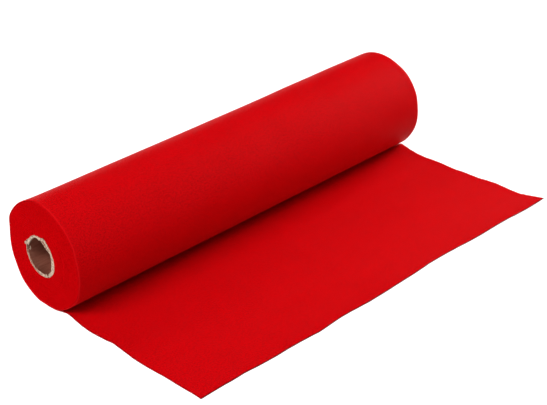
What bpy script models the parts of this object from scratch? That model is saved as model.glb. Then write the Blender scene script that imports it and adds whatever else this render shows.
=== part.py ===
"""A roll of craft felt on a cardboard core, lying on its side with its loose end run out flat.

The roll lies along X on the plane z = 0. The origin is under the core, at the middle of the
roll's length, and the loose end runs out toward -Y. All sizes are in metres.
"""

import math

import bmesh
import bpy
import numpy as np

# Driving sizes of the felt.
FELT_WIDTH = 0.450
FELT_THICKNESS = 0.0015
ROLL_RADIUS = 0.0528
TURN_PITCH = 0.00146
LOOSE_END_REACH = 0.2090

# The soft roll sinks a little under its own weight, which makes its flat spot.
AXIS_HEIGHT = 0.0515

# The cardboard core, a little off the roll's axis, as the felt above it has settled.
CORE_RADIUS = 0.0215
CORE_WALL = 0.0032
CORE_LENGTH = 0.4510
CORE_CENTRE = (0.0021, 0.0519)
CORE_CHAMFER = 0.0004
FIT_GAP = 0.0003

# How finely the shapes are divided.
RING_STEPS = 60
LENGTH_STEPS = 17
CORE_STEPS = 48

# The two last points of the ring: where the roll's front meets the loose end's top face, and the
# point of the underside below it.
CROTCH = RING_STEPS - 2
UNDER_CROTCH = RING_STEPS - 1

# Where the outer turn's edge ends up at each end of the roll. turned_deg starts under the roll
# and climbs its back, and inset_mm counts along +X from the felt's nominal edge.
NEAR_RIM = [
    # (turned_deg, inset_mm)
    (0, -0.7),
    (42, -0.8),
    (68, 0.7),
    (100, 2.1),
    (122, 0.3),
    (140, 1.2),
    (171, 5.0),
    (216, 4.3),
    (238, 4.1),
    (258, 2.6),
    (288, 2.2),
    (304, 3.6),
    (345, -1.3),
]
FAR_RIM = [
    # (turned_deg, inset_mm)
    (0, 0.2),
    (95, 1.0),
    (150, -0.4),
    (199, -0.8),
    (224, 0.7),
    (247, 0.7),
    (267, -0.7),
    (288, -0.6),
    (309, -1.6),
    (326, 0.2),
    (345, 0.6),
]

# The end faces of the roll dish in or out between the bore and the outer turn. At this share of
# the way out, they have this share of the outer turn's inset.
FACE_MIDDLE_SHARE = 0.55
FACE_DISH_SHARE = 0.45

# The near end of the outer turn is stretched a little open along its upper half.
FLARE_HEIGHT = 0.0009
FLARE_LENGTH = 0.018
FLARE_MIDDLE_DEG = 165
FLARE_SPREAD_DEG = 60

# The loose end, row by row away from the roll: how far the felt stands off the floor at its near
# and far edges, and how far each edge strays along X from the felt's nominal edge.
LOOSE_ROWS = [
    # (from_axis_mm, near_lift_mm, far_lift_mm, near_stray_mm, far_stray_mm)
    (16, 0.6, 0.9, 0.6, 0.9),
    (20, 1.1, 1.9, 1.3, 1.4),
    (26, 1.6, 3.7, 2.0, 1.9),
    (32, 1.2, 3.2, 2.0, 1.1),
    (41, 0.5, 1.7, 1.2, 0.2),
    (51, 0.1, 0.6, 0.3, -0.4),
    (62, 0.0, 0.0, -0.4, -0.9),
    (78, 0.0, 0.0, 0.6, -0.6),
    (94, 0.0, 0.0, 2.2, -0.9),
    (112, 0.0, 0.0, 0.8, -1.4),
    (130, 0.0, 0.0, -0.3, -0.9),
    (148, 0.0, 0.0, 0.2, 0.8),
    (166, 0.0, 0.0, 1.3, 1.0),
    (183, 0.0, 0.3, 1.2, -0.1),
    (197, 0.0, 1.5, 1.6, 1.8),
    (209, 0.0, 2.6, 1.5, 3.9),
]

# The cut edge of the loose end, from the near corner to the far one.
CUT_EDGE = [
    # (along_mm, from_axis_mm)
    (-225, 208.3),
    (-209, 208.7),
    (-175, 208.7),
    (-142, 210.5),
    (-108, 211.1),
    (-88, 211.3),
    (-68, 210.0),
    (-31, 210.8),
    (10, 210.2),
    (54, 208.0),
    (97, 208.4),
    (141, 209.9),
    (187, 211.3),
    (208, 212.4),
    (225, 213.4),
]

# The far edge's lift dies away along the felt over this share of its width.
FAR_LIFT_SHARE = 0.30

FELT_RED = (0.565, 0.0035, 0.006, 1.0)
BOARD_BROWN = (0.48, 0.30, 0.20, 1.0)

MM = 0.001


def clear_scene():
    for thing in list(bpy.data.objects):
        bpy.data.objects.remove(thing, do_unlink=True)


def read_row(table, at, column=1, period=None):
    """A column of a table at a place between its rows, eased so that the curve has no corners."""
    places = [row[0] for row in table]
    values = [row[column] for row in table]
    if period:
        places.append(places[0] + period)
        values.append(values[0])
        at = at % period
    at = min(max(at, places[0]), places[-1])
    index = max(i for i, place in enumerate(places[:-1]) if place <= at)
    share = (at - places[index]) / (places[index + 1] - places[index])
    eased = share * share * (3 - 2 * share)
    return values[index] + (values[index + 1] - values[index]) * eased


def flare(along, turned_deg):
    """How far the near end of the outer turn stands out at one angle."""
    from_end = (along + FELT_WIDTH / 2) / FLARE_LENGTH
    aside = (turned_deg - FLARE_MIDDLE_DEG) / FLARE_SPREAD_DEG
    return FLARE_HEIGHT * math.exp(-from_end) * math.exp(-aside * aside)


def outer_turn(along, turned):
    """A point of the roll's outside. The felt gains one pitch of radius in each full turn."""
    turned_deg = math.degrees(turned)
    radius = ROLL_RADIUS - TURN_PITCH * turned_deg / 360 + flare(along, turned_deg)
    return radius * math.sin(turned), AXIS_HEIGHT - radius * math.cos(turned)


def ring_section(along):
    """The roll's outside at one place along it: a spiral turn closed by its flat spot."""
    front_radius = ROLL_RADIUS - TURN_PITCH
    back_contact = math.acos(AXIS_HEIGHT / ROLL_RADIUS)
    front_contact = math.acos((AXIS_HEIGHT - FELT_THICKNESS) / front_radius)
    crotch_y = -front_radius * math.sin(front_contact)
    angles = np.linspace(back_contact, 2 * math.pi - front_contact, RING_STEPS - 2)
    section = [(0.0, 0.0, 0.0)]
    for turned in angles:
        y, z = outer_turn(along, turned)
        section.append((y, max(z, 0.0), math.degrees(turned)))
    section[1] = (section[1][0], 0.0, section[1][2])
    section[-1] = (crotch_y, FELT_THICKNESS, section[-1][2])
    section.append((crotch_y, 0.0, section[-1][2]))
    return section


def bore_point(index):
    turned = 2 * math.pi * index / RING_STEPS
    radius = CORE_RADIUS + FIT_GAP
    return CORE_CENTRE[0] + radius * math.sin(turned), CORE_CENTRE[1] - radius * math.cos(turned)


def rim_inset(share, turned_deg):
    """How far the outer turn strays along X, from its near edge to its far one."""
    near = read_row(NEAR_RIM, turned_deg, period=360)
    far = read_row(FAR_RIM, turned_deg, period=360)
    return (near * (1 - share) + far * share) * MM


def loose_section(share, along, crotch_y):
    """The loose end's rows at one place along the roll, as (stray, y, lift)."""
    reach = read_row(CUT_EDGE, along / MM) * MM
    near_side = max(0.0, 1 - share / FAR_LIFT_SHARE) ** 2
    far_side = max(0.0, 1 - (1 - share) / FAR_LIFT_SHARE) ** 2
    rows = []
    for from_axis, near_lift, far_lift, near_stray, far_stray in LOOSE_ROWS:
        run = (from_axis * MM + crotch_y) / (LOOSE_END_REACH + crotch_y)
        y = crotch_y - run * (reach + crotch_y)
        lift = near_lift + max(0.0, far_lift - near_lift) * far_side
        stray = near_stray * near_side + far_stray * far_side
        rows.append((stray * MM, y, lift * MM))
    return rows


def join_lines(shape, first, second, closed=False, left_open=None):
    """A band of four-sided faces between two lines of points that have the same count."""
    spans = len(first) if closed else len(first) - 1
    for index in range(spans):
        after = (index + 1) % len(first)
        if index != left_open:
            shape.faces.new((first[index], first[after], second[after], second[index]))


def felt_section(shape, share):
    """The lines of points around the felt at one share of the roll's length."""
    along = (share - 0.5) * FELT_WIDTH
    ring = ring_section(along)
    outside, face_middle, bore = [], [], []
    for index, (y, z, turned_deg) in enumerate(ring):
        inset = rim_inset(share, turned_deg)
        bore_y, bore_z = bore_point(index)
        outside.append(shape.verts.new((along + inset, y, z)))
        bore.append(shape.verts.new((along, bore_y, bore_z)))
        middle_y = bore_y + (y - bore_y) * FACE_MIDDLE_SHARE
        middle_z = bore_z + (z - bore_z) * FACE_MIDDLE_SHARE
        face_middle.append((along + inset * FACE_DISH_SHARE, middle_y, middle_z))
    top, underside = [outside[CROTCH]], [outside[UNDER_CROTCH]]
    for stray, y, lift in loose_section(share, along, ring[CROTCH][0]):
        top.append(shape.verts.new((along + stray, y, FELT_THICKNESS + lift)))
        underside.append(shape.verts.new((along + stray, y, lift)))
    return {
        "outside": outside,
        "face_middle": face_middle,
        "bore": bore,
        "top": top,
        "underside": underside,
        "cut_edge": [top[-1], underside[-1]],
    }


def close_end(shape, section):
    """The roll's end face, dished a little, and the loose end's selvedge."""
    middle = [shape.verts.new(point) for point in section["face_middle"]]
    join_lines(shape, section["bore"], middle, closed=True)
    join_lines(shape, middle, section["outside"], closed=True)
    join_lines(shape, section["top"], section["underside"])


def build_felt(material, collection):
    """The felt in one piece: the wound roll as a thick ring, and the loose end running out of it."""
    shape = bmesh.new()
    sections = [felt_section(shape, step / LENGTH_STEPS) for step in range(LENGTH_STEPS + 1)]
    for before, after in zip(sections, sections[1:]):
        # The step from the crotch to the underside is left open, because the loose end starts there.
        join_lines(shape, before["outside"], after["outside"], closed=True, left_open=CROTCH)
        join_lines(shape, before["bore"], after["bore"], closed=True)
        for line in ("top", "underside", "cut_edge"):
            join_lines(shape, before[line], after[line])
    close_end(shape, sections[0])
    close_end(shape, sections[-1])
    bmesh.ops.recalc_face_normals(shape, faces=shape.faces)
    mesh = bpy.data.meshes.new("felt")
    shape.to_mesh(mesh)
    shape.free()
    mesh.shade_smooth()
    mesh.set_sharp_from_angle(angle=math.radians(40))
    felt = bpy.data.objects.new("felt", mesh)
    felt.data.materials.append(material)
    collection.objects.link(felt)
    return felt


def build_core(material, collection):
    """The cardboard tube: its wall's section turned round the tube's axis, then laid along X."""
    inner = CORE_RADIUS - CORE_WALL
    half = CORE_LENGTH / 2
    profile = [
        (CORE_RADIUS - CORE_CHAMFER, half),
        (CORE_RADIUS, half - CORE_CHAMFER),
        (CORE_RADIUS, -half + CORE_CHAMFER),
        (CORE_RADIUS - CORE_CHAMFER, -half),
        (inner + CORE_CHAMFER, -half),
        (inner, -half + CORE_CHAMFER),
        (inner, half - CORE_CHAMFER),
        (inner + CORE_CHAMFER, half),
    ]
    mesh = bpy.data.meshes.new("core_tube")
    points = [(radius, 0.0, along) for radius, along in profile]
    edges = [(i, (i + 1) % len(points)) for i in range(len(points))]
    mesh.from_pydata(points, edges, [])
    core = bpy.data.objects.new("core_tube", mesh)
    core.data.materials.append(material)
    collection.objects.link(core)
    turn = core.modifiers.new("Turned wall", "SCREW")
    turn.axis = "Z"
    turn.angle = 2 * math.pi
    turn.steps = CORE_STEPS
    turn.render_steps = CORE_STEPS
    turn.use_merge_vertices = True
    turn.merge_threshold = 0.00005
    turn.use_smooth_shade = True
    core.rotation_euler = (0.0, math.radians(90), 0.0)
    core.location = (0.0, CORE_CENTRE[0], CORE_CENTRE[1])
    return core


def plain_material(name, colour, roughness):
    material = bpy.data.materials.new(name)
    material.use_nodes = True
    surface = material.node_tree.nodes["Principled BSDF"]
    surface.inputs["Base Color"].default_value = colour
    surface.inputs["Roughness"].default_value = roughness
    surface.inputs["Metallic"].default_value = 0.0
    material.diffuse_color = colour
    return material


def build():
    clear_scene()
    collection = bpy.data.collections.new("felt_roll")
    bpy.context.scene.collection.children.link(collection)
    build_felt(plain_material("Red felt", FELT_RED, 0.95), collection)
    build_core(plain_material("Cardboard", BOARD_BROWN, 0.85), collection)


build()
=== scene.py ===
"""The looks of a roll of red craft felt on its cardboard core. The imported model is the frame."""

import math

import bpy
import numpy as np
from mathutils import Euler, Matrix, Vector, noise


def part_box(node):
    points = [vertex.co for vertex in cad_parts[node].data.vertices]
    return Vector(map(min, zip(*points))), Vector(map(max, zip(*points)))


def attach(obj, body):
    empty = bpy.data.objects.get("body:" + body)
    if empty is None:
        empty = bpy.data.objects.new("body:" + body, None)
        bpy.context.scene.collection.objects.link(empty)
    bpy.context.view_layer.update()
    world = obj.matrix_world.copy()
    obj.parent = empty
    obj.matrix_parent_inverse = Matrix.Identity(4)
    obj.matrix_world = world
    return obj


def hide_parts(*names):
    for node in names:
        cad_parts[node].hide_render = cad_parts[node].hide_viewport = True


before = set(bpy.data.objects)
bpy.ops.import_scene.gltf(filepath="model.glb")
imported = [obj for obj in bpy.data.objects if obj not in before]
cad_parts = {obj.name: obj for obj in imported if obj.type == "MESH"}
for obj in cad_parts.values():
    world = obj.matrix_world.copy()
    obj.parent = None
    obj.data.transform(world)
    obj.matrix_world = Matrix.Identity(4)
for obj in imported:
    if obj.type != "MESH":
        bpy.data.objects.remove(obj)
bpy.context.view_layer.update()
MM = 0.001

# The camera stands in front of the roll's near end, looks down on it and leans a little to the
# left. Its lens is the one whose perspective fits the roll's two ends.
CAMERA_PLACE = (-0.80325, -0.94347, 0.68877)
CAMERA_AZIMUTH_DEG = -42.395
CAMERA_ELEVATION_DEG = 28.631
CAMERA_LEAN_DEG = -2.903
CAMERA_LENS_MM = 92.66
CAMERA_SENSOR_MM = 36.0

camera_data = bpy.data.cameras.new("studio_camera")
camera_data.lens = CAMERA_LENS_MM
camera_data.sensor_fit = "HORIZONTAL"
camera_data.sensor_width = CAMERA_SENSOR_MM
camera_data.clip_start = 0.05
camera = bpy.data.objects.new("studio_camera", camera_data)
heading = Matrix.Rotation(math.radians(CAMERA_AZIMUTH_DEG), 4, "Z")
pitch = Matrix.Rotation(math.radians(90 - CAMERA_ELEVATION_DEG), 4, "X")
lean = Matrix.Rotation(math.radians(CAMERA_LEAN_DEG), 4, "Z")
camera.matrix_world = Matrix.Translation(CAMERA_PLACE) @ heading @ pitch @ lean
bpy.context.scene.collection.objects.link(camera)
bpy.context.scene.camera = camera

# The studio is a white table lit through from below, so no shadow shows beside the roll, and soft
# square lamps round it. The table throws less light on the roll than it shows the camera. The key
# lamp's reflection is the pale band along the roll.
FLOOR_SIDE = 8.0
FLOOR_DROP = 0.0001
FLOOR_WHITE = (0.30, 0.30, 0.30, 1.0)
FLOOR_SHOWN = (1.0, 1.0, 1.0, 1.0)
FLOOR_THROWN = (0.5, 0.5, 0.5, 1.0)
ROOM_WHITE = (1.0, 1.0, 1.0, 1.0)
ROOM_STRENGTH = 0.08
LAMP_SIDE = 0.7
LAMP_DISTANCE = 1.8
SOFT_LAMPS = [
    # (name, azimuth_deg, elevation_deg, power)
    ("key_lamp", 330, 47, 14.1),
    ("low_key_lamp", 330, 12, 4.0),
    ("low_right_lamp", 0, 12, 12.5),
    ("left_lamp", 180, 47, 14.8),
    ("low_left_lamp", 180, 28, 2.4),
    ("back_lamp", 90, 47, 7.4),
]


def plain_surface(name, colour, roughness):
    """A new material, its Principled shader and its node tree."""
    material = bpy.data.materials.new(name)
    material.use_nodes = True
    surface = material.node_tree.nodes["Principled BSDF"]
    surface.inputs["Base Color"].default_value = colour
    surface.inputs["Roughness"].default_value = roughness
    surface.inputs["Metallic"].default_value = 0.0
    return material, surface, material.node_tree


half = FLOOR_SIDE / 2
floor_mesh = bpy.data.meshes.new("studio_table")
corners = [(x, y, -FLOOR_DROP) for x, y in ((-half, -half), (half, -half), (half, half), (-half, half))]
floor_mesh.from_pydata(corners, [], [(0, 1, 2, 3)])
floor_material, floor_surface, floor_tree = plain_surface("white_table", FLOOR_WHITE, 0.9)
floor_surface.inputs["Emission Strength"].default_value = 1.0
light_kind = floor_tree.nodes.new("ShaderNodeLightPath")
floor_glow = floor_tree.nodes.new("ShaderNodeMix")
floor_glow.data_type = "RGBA"
floor_glow.inputs["A"].default_value = FLOOR_THROWN
floor_glow.inputs["B"].default_value = FLOOR_SHOWN
floor_tree.links.new(light_kind.outputs["Is Camera Ray"], floor_glow.inputs["Factor"])
floor_tree.links.new(floor_glow.outputs["Result"], floor_surface.inputs["Emission Color"])
floor_mesh.materials.append(floor_material)
floor = bpy.data.objects.new("studio_table", floor_mesh)
bpy.context.scene.collection.objects.link(floor)

for name, azimuth_deg, elevation_deg, power in SOFT_LAMPS:
    lamp_data = bpy.data.lights.new(name, "AREA")
    lamp_data.shape = "SQUARE"
    lamp_data.size = LAMP_SIDE
    lamp_data.energy = power
    lamp = bpy.data.objects.new(name, lamp_data)
    away = Vector((1.0, 0.0, 0.0))
    away.rotate(Euler((0.0, -math.radians(elevation_deg), math.radians(azimuth_deg))))
    lamp.location = away * LAMP_DISTANCE
    lamp.rotation_euler = (-away).to_track_quat("-Z", "Y").to_euler()
    bpy.context.scene.collection.objects.link(lamp)

room = bpy.data.worlds.new("white_room")
room.use_nodes = True
room.node_tree.nodes["Background"].inputs["Color"].default_value = ROOM_WHITE
room.node_tree.nodes["Background"].inputs["Strength"].default_value = ROOM_STRENGTH
bpy.context.scene.world = room
bpy.context.scene.view_settings.view_transform = "Standard"
bpy.context.scene.view_settings.look = "None"


class NodeSketch:
    """Adds nodes to a tree, left to right, and links their sockets by name."""

    def __init__(self, tree):
        self.tree = tree
        self.across = -1800

    def add(self, kind, **settings):
        node = self.tree.nodes.new(kind)
        node.location = (self.across, 0)
        self.across += 180
        for key, value in settings.items():
            setattr(node, key, value)
        return node

    def wire(self, source, output, target, entry):
        self.tree.links.new(source.outputs[output], target.inputs[entry])

    def math(self, operation, first, second=None, clamp=False):
        """A Math node. Each of first and second is a number or a (node, output) pair."""
        node = self.add("ShaderNodeMath", operation=operation, use_clamp=clamp)
        for index, value in enumerate((first, second)):
            if isinstance(value, tuple):
                self.wire(value[0], value[1], node, index)
            elif value is not None:
                node.inputs[index].default_value = value
        return node, 0


def new_group(name, inputs, outputs):
    group = bpy.data.node_groups.new(name, "ShaderNodeTree")
    for socket_name, socket_type, value in inputs:
        socket = group.interface.new_socket(socket_name, in_out="INPUT", socket_type=socket_type)
        if value is not None:
            socket.default_value = value
    for socket_name, socket_type in outputs:
        group.interface.new_socket(socket_name, in_out="OUTPUT", socket_type=socket_type)
    return group


# Felt and paper are both mats of short fibres. This group draws such a mat: streaks of fibre in
# three directions, tangled by a distortion, over soft clumps.
def build_fibre_mat():
    group = new_group(
        "fibre_mat",
        [
            ("Vector", "NodeSocketVector", None),
            ("Fibres per metre", "NodeSocketFloat", 1000.0),
            ("Clumps per metre", "NodeSocketFloat", 200.0),
            ("Clouds per metre", "NodeSocketFloat", 25.0),
        ],
        [("Fibres", "NodeSocketFloat"), ("Clumps", "NodeSocketFloat"), ("Clouds", "NodeSocketFloat"),
         ("Height", "NodeSocketFloat")],
    )
    sketch = NodeSketch(group)
    entry = sketch.add("NodeGroupInput")
    layers = []
    for turn_deg, stretch in ((17, 0.16), (76, 0.2), (139, 0.14)):
        mapping = sketch.add("ShaderNodeMapping")
        mapping.inputs["Rotation"].default_value = (0.0, 0.0, math.radians(turn_deg))
        mapping.inputs["Scale"].default_value = (stretch, 1.0, 1.0)
        sketch.wire(entry, "Vector", mapping, "Vector")
        streaks = sketch.add("ShaderNodeTexNoise", noise_dimensions="3D")
        streaks.inputs["Detail"].default_value = 2.0
        streaks.inputs["Roughness"].default_value = 0.55
        streaks.inputs["Distortion"].default_value = 0.9
        sketch.wire(mapping, "Vector", streaks, "Vector")
        sketch.wire(entry, "Fibres per metre", streaks, "Scale")
        centred = sketch.math("SUBTRACT", (streaks, "Fac"), 0.5)
        ridge = sketch.math("ABSOLUTE", centred)
        line = sketch.math("MULTIPLY", ridge, -9.0)
        layers.append(sketch.math("ADD", line, 1.0, clamp=True))
    top_two = sketch.math("MAXIMUM", layers[0], layers[1])
    fibres = sketch.math("MAXIMUM", top_two, layers[2])
    clumps = sketch.add("ShaderNodeTexNoise", noise_dimensions="3D")
    clumps.inputs["Detail"].default_value = 3.0
    sketch.wire(entry, "Vector", clumps, "Vector")
    sketch.wire(entry, "Clumps per metre", clumps, "Scale")
    clouds = sketch.add("ShaderNodeTexNoise", noise_dimensions="3D")
    clouds.inputs["Detail"].default_value = 4.0
    sketch.wire(entry, "Vector", clouds, "Vector")
    sketch.wire(entry, "Clouds per metre", clouds, "Scale")
    clump_part = sketch.math("MULTIPLY", (clumps, "Fac"), 0.8)
    fibre_part = sketch.math("MULTIPLY", fibres, 0.45)
    height = sketch.math("ADD", clump_part, fibre_part)
    leave = sketch.add("NodeGroupOutput")
    sketch.wire(*fibres, leave, "Fibres")
    sketch.wire(clumps, "Fac", leave, "Clumps")
    sketch.wire(clouds, "Fac", leave, "Clouds")
    sketch.wire(*height, leave, "Height")
    return group


fibre_mat = build_fibre_mat()

# The core is a spiral-wound paper tube, three plies glued together and sawn to length. The saw has
# torn its near end: the outer ply is peeled over the felt, the board is split behind it, and
# scraps of paper hang into the bore.
core_low, core_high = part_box("core_tube")
CORE_Y = (core_low.y + core_high.y) / 2
CORE_Z = (core_low.z + core_high.z) / 2
CORE_RADIUS = (core_high.z - core_low.z) / 2
CORE_LENGTH = core_high.x - core_low.x
BORE_RADIUS_MM = 18.5
OUTER_PLY_MM = 0.45
LINING_MM = 0.35
SET_BACK_MM = 0.6
SLACK_REACH_MM = 2.6
PROUD_REACH_MM = 3.0
PAINTED_SHADE_REACH_MM = 4.0
CUT_OUTSIDE_MM = 0.4
CUT_INSIDE_MM = 0.25
AROUND = 288
DEPTHS_MM = (0.0, 0.25, 0.7, 1.4, 2.4, 4.0, 6.5, 10.0, 16.0, 30.0, 70.0, 140.0)
NEAR_END = [
    # (turned_deg, bore_mm, split_mm, skin_mm, recess_mm, proud_mm)
    (0, 18.9, 0.0, 21.4, 0.0, 0.0),
    (16, 19.0, 0.0, 22.0, 0.1, 0.0),
    (28, 20.8, 0.0, 22.6, 0.0, 0.0),
    (38, 21.3, 0.0, 22.9, 0.0, 0.0),
    (48, 21.3, 0.0, 22.9, 0.0, 0.0),
    (60, 21.1, 0.0, 22.8, 0.0, 0.0),
    (80, 21.0, 0.0, 22.5, 0.1, 0.0),
    (88, 20.9, 0.1, 22.4, 0.8, 0.0),
    (94, 20.5, 0.5, 22.0, 1.9, 0.0),
    (101, 20.3, 0.6, 21.8, 1.9, 0.2),
    (105, 19.2, 0.1, 22.4, 0.4, 0.5),
    (110, 18.4, 0.0, 22.7, 0.0, 0.8),
    (116, 17.8, 0.0, 21.9, 0.0, 0.5),
    (124, 17.6, 0.0, 20.7, 0.0, 0.1),
    (131, 17.5, 0.0, 20.1, 0.0, 0.0),
    (145, 17.4, 0.0, 20.2, 0.1, 0.0),
    (157, 18.0, 0.0, 20.2, 0.0, 0.0),
    (168, 17.8, 0.0, 19.8, 0.1, 0.0),
    (178, 16.5, 0.0, 20.0, 0.0, 0.0),
    (187, 17.2, 0.2, 20.1, 0.3, 0.1),
    (193, 16.8, 1.0, 20.9, 0.9, 0.3),
    (199, 16.2, 2.4, 23.0, 1.2, 0.6),
    (206, 15.7, 2.6, 23.1, 1.2, 0.5),
    (214, 14.9, 2.1, 21.5, 0.9, 0.3),
    (225, 15.5, 1.9, 20.5, 0.8, 0.3),
    (232, 15.9, 1.6, 20.3, 1.1, 0.2),
    (238, 16.4, 0.7, 20.2, 0.4, 0.2),
    (243, 16.7, 0.2, 20.0, 0.0, 0.1),
    (250, 16.2, 0.0, 19.7, 0.0, 0.0),
    (263, 15.9, 0.0, 19.8, 0.0, 0.0),
    (279, 15.4, 0.0, 19.8, 0.0, 0.0),
    (295, 15.5, 0.0, 20.2, 0.0, 0.0),
    (307, 17.0, 0.0, 20.3, 0.0, 0.0),
    (322, 17.1, 0.0, 20.4, 0.0, 0.0),
    (334, 17.6, 0.0, 21.0, 0.0, 0.0),
    (337, 19.9, 0.0, 21.0, 1.6, 0.0),
    (341, 19.9, 0.0, 21.1, 1.6, 0.0),
    (344, 17.9, 0.0, 21.2, 0.0, 0.0),
    (350, 18.2, 0.0, 21.4, 0.1, 0.0),
    (360, 18.9, 0.0, 21.4, 0.0, 0.0),
]
SCRAPS = [
    # (turned_deg, width_deg, root_mm, tip_mm, proud_mm, depth_mm)
    (99, 7.0, 18.2, 14.7, 0.1, 1.4),
    (92, 4.0, 18.6, 16.4, -0.4, 1.0),
    (107, 12.0, 20.6, 23.0, 1.1, 1.2),
]


def eased(table, at, column=1):
    """A column of a table at a place between its rows, with no corners in the curve."""
    at = min(max(at, table[0][0]), table[-1][0])
    index = max(i for i, row in enumerate(table[:-1]) if row[0] <= at)
    before, after = table[index], table[index + 1]
    share = (at - before[0]) / (after[0] - before[0])
    share = share * share * (3 - 2 * share)
    return before[column] + (after[column] - before[column]) * share


def torn(turned_deg, salt, size):
    """Raggedness of a torn paper edge, in mm."""
    coarse = noise.noise(Vector((turned_deg / 9.0, salt, 0.5)))
    fine = noise.noise(Vector((turned_deg / 2.3, salt + 7.0, 2.5)))
    return size * (coarse + 0.6 * fine)


def end_share(depth_mm, reach_mm):
    return math.exp(-depth_mm / reach_mm)


def outer_ply(turned_deg, depth_mm, near):
    """Outer and inner radius of the outer ply, and how far its end stands out, in mm."""
    skin = CORE_RADIUS / MM - 0.02
    outer = skin
    proud = torn(turned_deg, 1.0 if near else 4.0, 0.18)
    if near:
        outer += (eased(NEAR_END, turned_deg, 3) - skin) * end_share(depth_mm, SLACK_REACH_MM)
        proud += eased(NEAR_END, turned_deg, 5)
    return outer, outer - OUTER_PLY_MM, proud


def board(turned_deg, depth_mm, near):
    """The same for the thick board inside the outer ply."""
    outer = CORE_RADIUS / MM - 0.02 - OUTER_PLY_MM
    inner = BORE_RADIUS_MM + LINING_MM
    proud = torn(turned_deg, 2.0 if near else 5.0, 0.14)
    if near:
        skin = outer_ply(turned_deg, depth_mm, near)[1]
        slack = end_share(depth_mm, SLACK_REACH_MM)
        split = eased(NEAR_END, turned_deg, 2) * slack
        outer = min(outer, skin) - min(split, 1.6 * slack)
        inner += (eased(NEAR_END, turned_deg, 1) + 0.12 - inner) * slack
        inner += torn(turned_deg, 9.0, 0.16) * slack
        proud -= eased(NEAR_END, turned_deg, 4)
    return outer, inner, proud


def lining(turned_deg, depth_mm, near):
    """The same for the thin brown paper inside the bore."""
    outer = board(turned_deg, depth_mm, near)[1]
    return outer, outer - LINING_MM, -0.35 + torn(turned_deg, 3.0 if near else 6.0, 0.4)


def build_ply(name, ply, outside_mark=0.0, inside_mark=0.0):
    """A closed sleeve round the bore: its outside, its two torn ends and its inside. A mark
    below 0 paints shade on a side near the end, where it faces into the split or lies inside the bore's
    mouth."""
    points, cut = [], []
    depths = [(depth, True) for depth in DEPTHS_MM] + [(depth, False) for depth in reversed(DEPTHS_MM)]
    half = CORE_LENGTH / 2 / MM - SET_BACK_MM
    for step in range(AROUND):
        turned_deg = 360 * step / AROUND
        radial = (math.sin(math.radians(turned_deg)), -math.cos(math.radians(turned_deg)))
        outside, inside = [], []
        for depth, near in depths:
            outer, inner, proud = ply(turned_deg, depth, near)
            along = half + proud * end_share(depth, PROUD_REACH_MM) - depth
            along = -along if near else along
            corner = 0.0 if depth else 0.1
            outside.append((along, outer - corner))
            inside.append((along, inner + corner))
        ends = []
        for near in (True, False):
            outer, inner, proud = ply(turned_deg, 0.0, near)
            face = []
            for share in (0.3, 0.7):
                lift = 0.12 + torn(turned_deg * (2 + share), 11.0 + share, 0.12)
                along = half + proud + lift
                face.append((-along if near else along, outer + (inner - outer) * share))
            ends.append(face)
        ring = outside + ends[1] + inside[::-1] + ends[0][::-1]
        # Painted shade: a side marked below 0 is darkened near the end, fading over a few mm.
        dark = [(depth, end_share(depth, PAINTED_SHADE_REACH_MM)) for depth, near in depths]
        outside_marks = [max(outside_mark * share, 1 - mm / CUT_OUTSIDE_MM) for mm, share in dark]
        inside_marks = [max(inside_mark * share, 1 - mm / CUT_INSIDE_MM) for mm, share in dark[::-1]]
        cut += outside_marks + [1.0, 1.0] + inside_marks + [1.0, 1.0]
        for along, radius in ring:
            y = CORE_Y + radius * MM * radial[0]
            z = CORE_Z + radius * MM * radial[1]
            points.append(((core_low.x + core_high.x) / 2 + along * MM, y, z))
    around = len(points) // AROUND
    faces = []
    for step in range(AROUND):
        start, after = step * around, (step + 1) % AROUND * around
        for index in range(around):
            follows = (index + 1) % around
            faces.append((start + index, start + follows, after + follows, after + index))
    return finish_paper(name, points, faces, cut)


def finish_paper(name, points, faces, cut):
    """A paper piece from its points and faces, with its cut edges marked."""
    mesh = bpy.data.meshes.new(name)
    mesh.from_pydata(points, [], faces)
    mesh.validate()
    piece = bpy.data.objects.new(name, mesh)
    bpy.context.scene.collection.objects.link(piece)
    bpy.context.view_layer.objects.active = piece
    piece.select_set(True)
    bpy.ops.object.mode_set(mode="EDIT")
    bpy.ops.mesh.select_all(action="SELECT")
    bpy.ops.mesh.normals_make_consistent(inside=False)
    bpy.ops.object.mode_set(mode="OBJECT")
    piece.select_set(False)
    mesh.shade_smooth()
    mark = mesh.attributes.new("cut_edge", "FLOAT", "POINT")
    mark.data.foreach_set("value", cut)
    mesh.materials.append(board_brown)
    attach(piece, "root")
    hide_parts("core_tube")
    return piece


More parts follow.
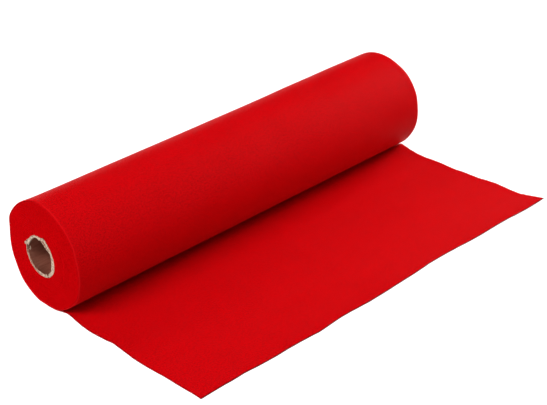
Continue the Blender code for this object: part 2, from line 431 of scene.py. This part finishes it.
def build_scraps():
    """Torn tongues of paper, each rooted in a ply's edge and curling to its tip."""
    points, faces, cut = [], [], []
    rows, columns = 6, 5
    for salt, (middle_deg, width_deg, root, tip, proud, depth) in enumerate(SCRAPS):
        base = len(points)
        for side in (0, 1):
            for row in range(rows + 1):
                share = row / rows
                radius = root + (tip - root) * share
                curl = proud * math.sin(share * math.pi / 2) + 0.15
                for column in range(columns + 1):
                    aside = column / columns * 2 - 1
                    narrow = 1 - 0.55 * share**2
                    ragged = torn(40 * aside + 90 * share, 20.0 + salt, 0.25) * share
                    turned = math.radians(middle_deg + aside * width_deg / 2 * narrow)
                    thick = (0.16 if side else -0.16) * (1 - 0.7 * share) * (1 - 0.5 * abs(aside))
                    along = CORE_LENGTH / 2 / MM - SET_BACK_MM + curl + ragged * 0.5
                    along += thick - depth * (1 - share)
                    reach = (radius + ragged) * MM
                    y = CORE_Y + reach * math.sin(turned)
                    z = CORE_Z - reach * math.cos(turned)
                    points.append(((core_low.x + core_high.x) / 2 - along * MM, y, z))
                    cut.append(0.9)
        layer = (rows + 1) * (columns + 1)
        rim = [column for column in range(columns)]
        rim += [row * (columns + 1) + columns for row in range(rows)]
        rim += [rows * (columns + 1) + columns - column for column in range(columns)]
        rim += [(rows - row) * (columns + 1) for row in range(rows)]
        for row in range(rows):
            for column in range(columns):
                corner = base + row * (columns + 1) + column
                quad = (corner, corner + 1, corner + columns + 2, corner + columns + 1)
                faces.append(quad)
                faces.append(tuple(index + layer for index in reversed(quad)))
        for index, here in enumerate(rim):
            after = rim[(index + 1) % len(rim)]
            faces.append((base + after, base + here, base + here + layer, base + after + layer))
    return finish_paper("core_torn_scraps", points, faces, cut)


# Painted shade: the walls facing into the split and the lining just inside the bore's mouth are darkened
# towards this colour.
PAINTED_PAPER_SHADE = (0.050, 0.022, 0.014, 1.0)
KRAFT_DARK = (0.160, 0.036, 0.020, 1.0)
KRAFT_LIGHT = (0.540, 0.195, 0.126, 1.0)
CUT_GREY = (0.200, 0.120, 0.075, 1.0)
CUT_CREAM = (0.860, 0.660, 0.500, 1.0)


def cardboard_surface():
    material, surface, tree = plain_surface("brown_cardboard", KRAFT_LIGHT, 0.85)
    surface.inputs["Specular IOR Level"].default_value = 0.18
    sketch = NodeSketch(tree)
    place = sketch.add("ShaderNodeTexCoord")
    along = sketch.add("ShaderNodeMapping")
    along.inputs["Scale"].default_value = (0.12, 1.0, 1.0)
    sketch.wire(place, "Object", along, "Vector")
    mat = sketch.add("ShaderNodeGroup", node_tree=fibre_mat)
    mat.inputs["Fibres per metre"].default_value = 1500.0
    mat.inputs["Clumps per metre"].default_value = 520.0
    mat.inputs["Clouds per metre"].default_value = 90.0
    sketch.wire(along, "Vector", mat, "Vector")
    rough_mat = sketch.add("ShaderNodeGroup", node_tree=fibre_mat)
    rough_mat.inputs["Fibres per metre"].default_value = 1300.0
    rough_mat.inputs["Clumps per metre"].default_value = 700.0
    rough_mat.inputs["Clouds per metre"].default_value = 180.0
    sketch.wire(place, "Object", rough_mat, "Vector")
    clumps = sketch.math("MULTIPLY", (mat, "Clumps"), 0.8)
    clouds = sketch.math("MULTIPLY", (mat, "Clouds"), 0.5)
    tone = sketch.math("ADD", clumps, clouds)
    shade = sketch.math("SUBTRACT", tone, 0.2, clamp=True)
    wall = sketch.add("ShaderNodeMix", data_type="RGBA")
    wall.inputs["A"].default_value = KRAFT_DARK
    wall.inputs["B"].default_value = KRAFT_LIGHT
    sketch.wire(*shade, wall, "Factor")
    torn_clumps = sketch.math("MULTIPLY", (rough_mat, "Clumps"), 3.8)
    torn_fibres = sketch.math("MULTIPLY", (rough_mat, "Fibres"), 0.3)
    torn_tone = sketch.math("ADD", torn_clumps, torn_fibres)
    torn_shade = sketch.math("SUBTRACT", torn_tone, 1.25, clamp=True)
    cut_face = sketch.add("ShaderNodeMix", data_type="RGBA")
    cut_face.inputs["A"].default_value = CUT_GREY
    cut_face.inputs["B"].default_value = CUT_CREAM
    sketch.wire(*torn_shade, cut_face, "Factor")
    marked = sketch.add("ShaderNodeAttribute", attribute_name="cut_edge")
    # Painted shade where the mark is below 0.
    painted_shade_share = sketch.math("MULTIPLY", (marked, "Fac"), -1.0, clamp=True)
    with_painted_shade = sketch.add("ShaderNodeMix", data_type="RGBA")
    with_painted_shade.inputs["B"].default_value = PAINTED_PAPER_SHADE
    sketch.wire(wall, "Result", with_painted_shade, "A")
    sketch.wire(*painted_shade_share, with_painted_shade, "Factor")
    coloured = sketch.add("ShaderNodeMix", data_type="RGBA")
    sketch.wire(with_painted_shade, "Result", coloured, "A")
    sketch.wire(cut_face, "Result", coloured, "B")
    sketch.wire(marked, "Fac", coloured, "Factor")
    sketch.wire(coloured, "Result", surface, "Base Color")
    bump = sketch.add("ShaderNodeBump")
    bump.inputs["Strength"].default_value = 0.5
    bump.inputs["Distance"].default_value = 0.00025
    sketch.wire(rough_mat, "Height", bump, "Height")
    sketch.wire(bump, "Normal", surface, "Normal")
    return material


board_brown = cardboard_surface()
# The split's walls and the lining inside the bore's mouth get painted shade near the end.
build_ply("core_outer_ply", outer_ply, inside_mark=-1.0)
build_ply("core_board", board, outside_mark=-1.0)
build_ply("core_lining", lining, inside_mark=-0.65)
build_scraps()

# The felt is one needle-punched length, 45 cm wide, wound tightly from the core out. Its last
# hand's breadth runs out flat on the table. The cut edges are soft, and no two turns end quite
# alike, so the roll's end faces are a little uneven.
FELT_WIDTH = 0.450
LOOSE_THICKNESS = 0.0015
ROLL_RADIUS = 0.0528
TURN_PITCH = 0.00146
FILLS_PITCH = 0.995
AXIS_Z = 0.0515
TURNS = (ROLL_RADIUS - CORE_RADIUS) / TURN_PITCH
FINE_TURNS = 1.15
FINE_STEP_DEG = 3.0
HIDDEN_STEP_DEG = 6.0
EDGE_STATIONS_MM = (0.0, 0.3, 0.9, 2.2, 4.5, 8.0, 13.0)
FINE_SPACING = 0.0072
HIDDEN_STATIONS_MM = (0.0, 0.3, 0.9, 4.5)
EDGE_ROUNDING = [
    # (from_edge_mm, share_of_thickness)
    (0.0, 0.36),
    (0.3, 0.62),
    (0.9, 0.86),
    (2.2, 1.0),
]
EDGE_BULGE = 0.00030
PACKED_TIGHT = 0.10
# Painted shade along the loose end's cut edges: its strength and its reach in from the edge.
SIDE_CUT_SHADE_MARK = -0.45
SIDE_CUT_MM = 0.6
FRONT_CUT_SHADE_MARK = -0.95
FRONT_CUT_MM = 0.8
WOUND_CUT_MM = 1.2
CORE_DENT_LIMIT = 0.0012
NEAR_RIM = [
    # (turned_deg, inset_mm)
    (0, -0.7),
    (42, -0.8),
    (68, 0.7),
    (100, 2.1),
    (122, 0.3),
    (140, 1.2),
    (171, 5.0),
    (216, 4.3),
    (238, 4.1),
    (258, 2.6),
    (288, 2.2),
    (304, 3.6),
    (345, -1.3),
    (360, -0.7),
]
FAR_RIM = [
    # (turned_deg, inset_mm)
    (0, 0.5),
    (95, 1.3),
    (150, -0.1),
    (199, -0.5),
    (224, 1.0),
    (247, 1.0),
    (267, -0.4),
    (288, -0.3),
    (309, -1.3),
    (326, 0.5),
    (345, 0.9),
    (360, 0.5),
]
LOOSE_ROWS = [
    # (from_axis_mm, near_lift_mm, far_lift_mm, near_stray_mm, far_stray_mm)
    (0, 0.0, 0.0, -1.0, 0.5),
    (10, 0.0, 0.0, -0.5, 0.9),
    (16, 0.5, 0.7, 0.3, 1.2),
    (20, 1.1, 1.8, 1.0, 1.7),
    (26, 1.6, 3.7, 1.7, 2.2),
    (32, 1.2, 3.2, 1.6, 1.0),
    (41, 0.5, 1.7, 0.6, 0.2),
    (51, 0.1, 0.6, -0.3, -0.4),
    (62, 0.0, 0.0, -0.8, -0.2),
    (72, 0.0, 0.0, -0.4, 0.5),
    (82, 0.0, 0.0, 0.4, 0.5),
    (92, 0.0, 0.0, 1.8, -0.3),
    (102, 0.0, 0.0, 1.1, -0.8),
    (112, 0.0, 0.0, 0.2, 0.2),
    (122, 0.0, 0.0, -0.6, 0.1),
    (132, 0.0, 0.0, -0.8, 0.2),
    (142, 0.0, 0.0, -0.8, 1.7),
    (152, 0.0, 0.0, -0.2, 2.6),
    (162, 0.0, 0.0, 0.4, 1.9),
    (172, 0.0, 0.1, 0.5, 0.9),
    (183, 0.0, 0.3, 0.6, 0.5),
    (190, 0.0, 0.9, 0.8, 1.7),
    (197, 0.0, 1.5, 1.1, 3.0),
    (203, 0.0, 2.0, 1.0, 4.4),
    (209, 0.0, 2.6, 0.7, 5.2),
]
CUT_EDGE = [
    # (along_mm, from_axis_mm)
    (-225, 209.7),
    (-212, 209.4),
    (-200, 209.2),
    (-188, 209.6),
    (-175, 209.1),
    (-162, 210.3),
    (-150, 210.9),
    (-138, 211.1),
    (-125, 210.8),
    (-112, 211.1),
    (-100, 211.7),
    (-88, 212.5),
    (-75, 211.4),
    (-62, 210.4),
    (-50, 210.4),
    (-38, 211.0),
    (-25, 211.7),
    (-12, 211.5),
    (0, 211.3),
    (12, 210.7),
    (25, 210.2),
    (38, 209.8),
    (50, 209.1),
    (62, 208.1),
    (75, 208.1),
    (88, 208.3),
    (100, 208.8),
    (112, 209.6),
    (125, 210.5),
    (138, 210.8),
    (150, 210.7),
    (162, 210.8),
    (175, 211.3),
    (188, 212.6),
    (200, 213.5),
    (212, 213.8),
    (225, 213.8),
]
LOOSE_REACH_MM = LOOSE_ROWS[-1][0]
LOOSE_STEPS = 66
CUT_ROWS_MM = (2.2, 0.9, 0.3, 0.0)
CORNER_SHARE = 0.30
SHARP_DEG = 55
FLARE_HEIGHT = 0.0013
FLARE_LENGTH = 0.010
FLARE_MIDDLE_DEG = 170
FLARE_SPREAD_DEG = 42
NAP = 0.00045
FULLNESS = [
    # (along_mm, fuller_mm)
    (-225, 0.12),
    (-182, 0.12),
    (-137, 0.0),
    (-90, -0.06),
    (-44, -0.27),
    (1, -0.25),
    (48, -0.25),
    (79, -0.13),
    (109, 0.24),
    (140, 0.30),
    (171, 0.48),
    (202, 0.23),
    (225, 0.15),
]
FULLNESS_MIDDLE_DEG = 163
FULLNESS_SPREAD_DEG = 50
TURN_SCATTER = 0.00014
EDGE_WAVER = 0.00012
SURFACE_SWELL = 0.00016
LOOSE_SWELL = 0.00035


def swell(x, run, wave):
    """Smooth unevenness from -1 to 1 over the cloth, at a wavelength in metres."""
    return noise.noise(Vector((x / wave, run / wave, 7.3)))


def hull_point(x, turned):
    """The roll's outside at an angle from its underside, as the flat spot leaves it."""
    turned_deg = math.degrees(turned) % 360
    aside = (turned_deg - FLARE_MIDDLE_DEG) / FLARE_SPREAD_DEG
    from_end = (x + FELT_WIDTH / 2) / FLARE_LENGTH
    radius = ROLL_RADIUS + NAP + FLARE_HEIGHT * math.exp(-from_end - aside * aside)
    aside = (turned_deg - FULLNESS_MIDDLE_DEG) / FULLNESS_SPREAD_DEG
    radius += eased(FULLNESS, x / MM) * MM * math.exp(-aside * aside)
    radius += SURFACE_SWELL * swell(x, turned_deg / 360, 0.06)
    return radius * math.sin(turned), max(0.0, AXIS_Z - radius * math.cos(turned))


def wound_point(x, turned, layer):
    """A point of the wound felt. layer is 0 on the strip's outer face and 1 on its inner one.
    The first turn is pressed full against the core, so no gap shows beside the strip's start."""
    turns = turned / (2 * math.pi)
    thickness = TURNS - turns if turns > TURNS - 2 + 0.001 else 1.0
    turns_in = turns + layer * (thickness - 1 + FILLS_PITCH)
    outward = max(0.0, 1 - turns_in / TURNS)
    hull_y, hull_z = hull_point(x, turned)
    turned_deg = math.degrees(turned) % 360
    dent = min(CORE_DENT_LIMIT, eased(NEAR_END, turned_deg, 3) * MM - CORE_RADIUS)
    dent *= end_share((x + FELT_WIDTH / 2) / MM, SLACK_REACH_MM) * (1 - outward) ** 5
    core_y = CORE_Y + (CORE_RADIUS + dent) * math.sin(turned)
    core_z = CORE_Z - (CORE_RADIUS + dent) * math.cos(turned)
    return core_y + (hull_y - core_y) * outward, core_z + (hull_z - core_z) * outward


def wound_stray(side, turned):
    """How far the strip's edge strays along X at one place of its winding."""
    turned_deg = math.degrees(turned)
    outward = 1 - turned / (2 * math.pi * TURNS)
    rim = eased(NEAR_RIM if side < 0 else FAR_RIM, turned_deg % 360) * MM
    scatter = TURN_SCATTER * noise.noise(Vector((turned * 0.9, side * 11.0, 0.0)))
    scatter += TURN_SCATTER * noise.noise(Vector((turned * 0.11, side * 23.0, 4.0)))
    waver = EDGE_WAVER * noise.noise(Vector((turned * 5.0, side * 5.0, 9.0)))
    return rim * outward**1.15 + scatter * min(1.0, turned / 4) + waver


def side_weights(x):
    """How much a point at x follows the near edge and the far edge."""
    share = x / FELT_WIDTH + 0.5
    near = max(0.0, 1 - share / CORNER_SHARE) ** 2
    return near, max(0.0, 1 - (1 - share) / CORNER_SHARE) ** 2


def loose_point(x, from_axis_mm, thickness_share):
    """A pair of points of the loose end, on its underside and on its top face."""
    near, far = side_weights(x)
    near_lift = eased(LOOSE_ROWS, from_axis_mm, 1)
    far_lift = eased(LOOSE_ROWS, from_axis_mm, 2)
    near_stray = eased(LOOSE_ROWS, from_axis_mm, 3)
    far_stray = eased(LOOSE_ROWS, from_axis_mm, 4)
    out = from_axis_mm / LOOSE_REACH_MM
    reach = eased(CUT_EDGE, x / MM) * MM
    lift = (near_lift + max(0.0, far_lift - near_lift) * far) * MM
    lift += LOOSE_SWELL * max(0.0, swell(x, out, 0.09)) * min(1.0, out * 4)
    waver = EDGE_WAVER * (noise.noise(Vector((from_axis_mm / 7.0, 3.0, 1.0))) * near
                          + noise.noise(Vector((from_axis_mm / 7.0, 8.0, 5.0))) * far)
    cut_waver = EDGE_WAVER * noise.noise(Vector((x / 0.006, 2.0, 2.0))) * out**6
    place_x = x + (near_stray * near + far_stray * far) * MM + waver
    place_y = -out * reach + cut_waver
    wound = TURN_PITCH * FILLS_PITCH
    thickness = wound + (LOOSE_THICKNESS - wound) * min(1.0, from_axis_mm / 30)
    slim = thickness * (1 - thickness_share) / 2
    return (place_x, place_y, lift + slim), (place_x, place_y, lift + thickness - slim)


def thickness_near_edge(from_edge_mm, free=1.0):
    """How much of its thickness the felt keeps near a cut edge, less where the edge is free."""
    places = [row[0] for row in EDGE_ROUNDING]
    kept = float(np.interp(from_edge_mm, places, [row[1] for row in EDGE_ROUNDING]))
    return 1 - (1 - kept) * free


def edge_freedom(turned):
    """1 on the outermost turn, less where a turn's edge is packed between its neighbours."""
    return max(PACKED_TIGHT, min(1.0, 1.9 - turned / (2 * math.pi)))


half_width_mm = FELT_WIDTH / 2 / MM
middle_mm = np.linspace(EDGE_STATIONS_MM[-1] - half_width_mm, half_width_mm - EDGE_STATIONS_MM[-1],
                        round((FELT_WIDTH - 2 * EDGE_STATIONS_MM[-1] * MM) / FINE_SPACING) + 1)
near_side_mm = [mm - half_width_mm for mm in EDGE_STATIONS_MM[:-1]]
far_side_mm = [half_width_mm - mm for mm in reversed(EDGE_STATIONS_MM[:-1])]
stations = [mm * MM for mm in near_side_mm + list(middle_mm) + far_side_mm]
last_station = len(stations) - 1
hidden_near = [EDGE_STATIONS_MM.index(mm) for mm in HIDDEN_STATIONS_MM]
hidden_middle = list(np.linspace(hidden_near[-1], last_station - hidden_near[-1], 6).round().astype(int))
hidden_far = [last_station - index for index in reversed(hidden_near)]
hidden_stations = sorted(set(hidden_near + hidden_middle + hidden_far))


def wound_row(turned, picked):
    """One row of the strip on the roll, as points on its outer face and on its inner one."""
    outer, inner = [], []
    for index in picked:
        x = stations[index]
        near, far = side_weights(x)
        place_x = x + wound_stray(-1, turned) * near + wound_stray(1, turned) * far
        from_edge = (FELT_WIDTH / 2 - abs(x)) / MM
        slim = (1 - thickness_near_edge(from_edge, edge_freedom(turned))) / 2
        outer.append((place_x, *wound_point(x, turned, slim)))
        inner.append((place_x, *wound_point(x, turned, 1 - slim)))
    return outer, inner


def loose_row(from_axis_mm, kept_at_cut):
    """One row of the loose end, as points on its underside and on its top face."""
    under, top = [], []
    for x in stations:
        from_edge = (FELT_WIDTH / 2 - abs(x)) / MM
        low, high = loose_point(x, from_axis_mm, thickness_near_edge(from_edge) * kept_at_cut)
        under.append(low)
        top.append(high)
    return under, top


rows = []
turned = (TURNS - 1) * 2 * math.pi
fine_from = FINE_TURNS * 2 * math.pi
while turned > 1e-6:
    fine = turned <= fine_from + 1e-6
    rows.append(("wound", turned, fine))
    turned -= math.radians(FINE_STEP_DEG if fine else HIDDEN_STEP_DEG)
whole_mm = LOOSE_REACH_MM - CUT_ROWS_MM[0]
loose_mm = [whole_mm * step / LOOSE_STEPS for step in range(LOOSE_STEPS)]
rows += [("loose", from_axis_mm, True) for from_axis_mm in loose_mm]
rows += [("loose", LOOSE_REACH_MM - mm, True) for mm in CUT_ROWS_MM]

points, cut_edge, run_along, row_starts = [], [], [], []
edge_middles = set()
run = 0.0
last_middle = None
for kind, place, fine in rows:
    picked = range(len(stations)) if fine else hidden_stations
    if kind == "wound":
        outer, inner = wound_row(place, picked)
        from_cut = LOOSE_REACH_MM
    else:
        from_cut = LOOSE_REACH_MM - place
        outer, inner = loose_row(place, thickness_near_edge(from_cut))
    middle = Vector(outer[len(outer) // 2])
    run += (middle - last_middle).length if last_middle else 0.0
    last_middle = middle
    bulge = EDGE_BULGE * (edge_freedom(place) if kind == "wound" else 1.0)
    bulged = []
    for side, end in ((-1, 0), (1, -1)):
        centre = (Vector(outer[end]) + Vector(inner[end])) / 2
        bulged.append(tuple(centre + Vector((side * bulge, 0.0, 0.0))))
    row_starts.append((len(points), len(outer)))
    edge_middles |= {len(points) + len(outer), len(points) + 2 * len(outer) + 1}
    points += outer + [bulged[1]] + inner[::-1] + [bulged[0]]
    from_edges = [(FELT_WIDTH / 2 - abs(stations[index])) / MM for index in picked]
    if kind == "wound":
        # Painted highlight along the wound turns' free cut edges, strongest on the outer turn.
        middle_mark = edge_freedom(place)
        face_marks = [max(0.0, 1 - mm / WOUND_CUT_MM) * middle_mark for mm in from_edges]
    else:
        # Painted shade along the loose end's cut edges, deepest at its front cut.
        front_mark = FRONT_CUT_SHADE_MARK * max(0.0, 1 - from_cut / FRONT_CUT_MM)
        middle_mark = min(front_mark, SIDE_CUT_SHADE_MARK)
        side_marks = [SIDE_CUT_SHADE_MARK * max(0.0, 1 - mm / SIDE_CUT_MM) for mm in from_edges]
        face_marks = [min(front_mark, mark) for mark in side_marks]
    cut_edge += face_marks + [middle_mark] + face_marks[::-1] + [middle_mark]
    run_along += [run] * (2 * len(outer) + 2)

faces = []
for (start, count), (next_start, next_count) in zip(row_starts, row_starts[1:]):
    around, next_around = 2 * count + 2, 2 * next_count + 2
    if around == next_around:
        for index in range(around):
            after = (index + 1) % around
            faces.append((start + index, start + after, next_start + after, next_start + index))
        continue
    # Here the hidden turns' few points across meet the outer turn's many.
    marks = list(hidden_stations)
    ring = marks + [last_station + 1] + [2 * last_station + 2 - mark for mark in reversed(marks)]
    ring.append(next_around - 1)
    for index in range(around):
        after = (index + 1) % around
        stop = ring[after] if after else next_around
        many = [next_start + mark % next_around for mark in range(stop, ring[index] - 1, -1)]
        faces.append((start + index, start + after, *many))
for start, count in (row_starts[0], row_starts[-1]):
    last = 2 * count
    faces += [(start + i, start + i + 1, start + last - i - 1, start + last - i)
              for i in range(count - 1)]
    faces.append((start + count - 1, start + count, start + count + 1))
    faces.append((start, start + last, start + last + 1))

felt_mesh = bpy.data.meshes.new("felt_length")
felt_mesh.from_pydata(points, [], faces)
felt_mesh.validate()
felt = bpy.data.objects.new("felt_length", felt_mesh)
bpy.context.scene.collection.objects.link(felt)
bpy.context.view_layer.objects.active = felt
felt.select_set(True)
bpy.ops.object.mode_set(mode="EDIT")
bpy.ops.mesh.select_all(action="SELECT")
bpy.ops.mesh.normals_make_consistent(inside=False)
bpy.ops.object.mode_set(mode="OBJECT")
felt_mesh.shade_smooth()
felt_mesh.set_sharp_from_angle(angle=math.radians(SHARP_DEG))

edge_mark = felt_mesh.attributes.new("cut_edge", "FLOAT", "POINT")
edge_mark.data.foreach_set("value", cut_edge)
cloth_map = felt_mesh.uv_layers.new(name="cloth")
corner_points = np.empty(len(felt_mesh.loops), np.int32)
felt_mesh.loops.foreach_get("vertex_index", corner_points)
across = np.array([point[0] for point in points])
flat_places = np.stack([across, np.array(run_along)], axis=1)[corner_points]
cloth_map.data.foreach_set("uv", flat_places.ravel())


# The felt's face has a faint gloss and a soft sheen, and its cut edge is fully matte. Where the
# cut edge is marked above 0 it is frayed and painted paler, a painted highlight where the edge
# catches the light; below 0 it is painted shade along the loose end's cut.
FACE_GLOSS = 0.009
FACE_SHEEN = 0.028
FIBRE_CONTRAST = 0.8
CLUMP_CONTRAST = 2.3
CLOUD_CONTRAST = 0.25
TONE_SHIFT = 1.16
FELT_DEEP_RED = (0.480, 0.0001, 0.0004, 1.0)
FELT_BRIGHT_RED = (0.832, 0.0003, 0.0036, 1.0)
CUT_DEEP_RED = (0.580, 0.0001, 0.0004, 1.0)
CUT_BRIGHT_RED = (0.795, 0.0003, 0.0036, 1.0)
# Painted highlight: the free cut edges are paled towards this colour where they catch the light.
FELT_EDGE_HIGHLIGHT_RED = (0.950, 0.0080, 0.0120, 1.0)
# Painted shade for the loose end's cut edges.
FELT_CUT_SHADE = (0.100, 0.0001, 0.0002, 1.0)


def felt_surface(name, deep_red, bright_red, gloss, sheen):
    material, surface, tree = plain_surface(name, bright_red, 0.95)
    surface.inputs["Specular IOR Level"].default_value = gloss
    surface.inputs["Sheen Weight"].default_value = sheen
    surface.inputs["Sheen Roughness"].default_value = 0.25
    surface.inputs["Sheen Tint"].default_value = (1.0, 0.5, 0.5, 1.0)
    sketch = NodeSketch(tree)
    cloth = sketch.add("ShaderNodeUVMap", uv_map="cloth")
    mat = sketch.add("ShaderNodeGroup", node_tree=fibre_mat)
    mat.inputs["Fibres per metre"].default_value = 1900.0
    mat.inputs["Clumps per metre"].default_value = 620.0
    mat.inputs["Clouds per metre"].default_value = 38.0
    sketch.wire(cloth, "UV", mat, "Vector")
    fibre_part = sketch.math("MULTIPLY", (mat, "Fibres"), FIBRE_CONTRAST)
    clump_part = sketch.math("MULTIPLY", (mat, "Clumps"), CLUMP_CONTRAST)
    cloud_part = sketch.math("MULTIPLY", (mat, "Clouds"), CLOUD_CONTRAST)
    two = sketch.math("ADD", fibre_part, clump_part)
    tone = sketch.math("ADD", two, cloud_part)
    shade = sketch.math("SUBTRACT", tone, TONE_SHIFT, clamp=True)
    body = sketch.add("ShaderNodeMix", data_type="RGBA")
    body.inputs["A"].default_value = deep_red
    body.inputs["B"].default_value = bright_red
    sketch.wire(*shade, body, "Factor")
    marked = sketch.add("ShaderNodeAttribute", attribute_name="cut_edge")
    # Painted highlight on edges marked above 0.
    frayed_highlight = sketch.math("MULTIPLY", (marked, "Fac"), 0.9)
    coloured = sketch.add("ShaderNodeMix", data_type="RGBA")
    coloured.inputs["B"].default_value = FELT_EDGE_HIGHLIGHT_RED
    sketch.wire(body, "Result", coloured, "A")
    sketch.wire(*frayed_highlight, coloured, "Factor")
    # Painted shade where the mark is below 0.
    in_shade = sketch.math("MULTIPLY", (marked, "Fac"), -1.0, clamp=True)
    shaded = sketch.add("ShaderNodeMix", data_type="RGBA")
    shaded.inputs["B"].default_value = FELT_CUT_SHADE
    sketch.wire(coloured, "Result", shaded, "A")
    sketch.wire(*in_shade, shaded, "Factor")
    sketch.wire(shaded, "Result", surface, "Base Color")
    rough = sketch.math("MULTIPLY_ADD", (mat, "Clumps"), 0.2)
    rough[0].inputs[2].default_value = 0.22
    sketch.wire(*rough, surface, "Roughness")
    bump = sketch.add("ShaderNodeBump")
    bump.inputs["Strength"].default_value = 0.9
    bump.inputs["Distance"].default_value = 0.0005
    sketch.wire(mat, "Height", bump, "Height")
    sketch.wire(bump, "Normal", surface, "Normal")
    return material


face_red = felt_surface("red_felt", FELT_DEEP_RED, FELT_BRIGHT_RED, FACE_GLOSS, FACE_SHEEN)
cut_red = felt_surface("red_felt_cut_edge", CUT_DEEP_RED, CUT_BRIGHT_RED, 0.0, 0.0)
felt_mesh.materials.append(face_red)
felt_mesh.materials.append(cut_red)
for face in felt_mesh.polygons:
    face.material_index = int(any(index in edge_middles for index in face.vertices))
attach(felt, "root")
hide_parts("felt")
